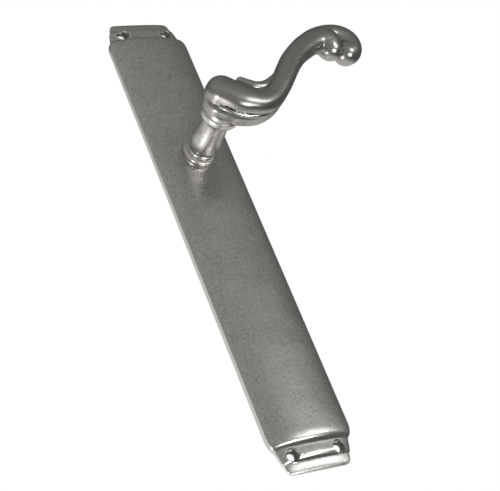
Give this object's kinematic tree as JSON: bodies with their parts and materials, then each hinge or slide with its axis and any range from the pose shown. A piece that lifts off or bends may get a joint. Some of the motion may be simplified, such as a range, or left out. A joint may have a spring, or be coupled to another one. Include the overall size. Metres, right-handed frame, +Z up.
{
  "type": "lever handle on backplate",
  "caption": "Cast scroll-shaped lever door handle on a long domed backplate, sprung to lift again, with a square spindle at the back.",
  "frame": {"origin": "centre of the backplate's rear face, on the middle rib, in the plane of the door's face", "axes": "+Z up along the plate, +X to the right seen from the front, towards the lever's tip, +Y into the door along the spindle"},
  "size_m": [0.1239, 0.0922, 0.29],
  "materials": {
    "plate_pewter": "antique pewter plating on cast brass, satin and finely speckled",
    "lever_pewter": "antique pewter plating on cast brass, burnished",
    "steel": "zinc plated",
    "spring_steel": "oiled spring steel",
    "nylon": "natural nylon"
  },
  "bodies": {
    "plate": {"backplate": "plate_pewter", "collar_ring": "lever_pewter", "neck_bush": "nylon", "spring_anchor_pin": "steel", "stop_pin_upper": "steel", "stop_pin_lower": "steel", "spring_cover": "steel", "cover_screw_upper": "steel", "cover_screw_lower": "steel", "return_spring": "spring_steel"},
    "lever": {"lever_handle": "lever_pewter", "spindle": "steel", "spindle_pin": "steel", "thrust_washer": "steel", "driver_plate": "steel", "circlip": "spring_steel"}
  },
  "joints": [
    {"name": "lever_turn", "type": "hinge", "parent": "plate", "child": "lever", "pos_m": [0, 0, 0.045], "axis": [0, 1, 0], "range_deg": [0, 45], "stiffness_Nm_per_rad": 0.6, "springref_deg": -34.38, "deforming": ["return_spring"]}
  ]
}
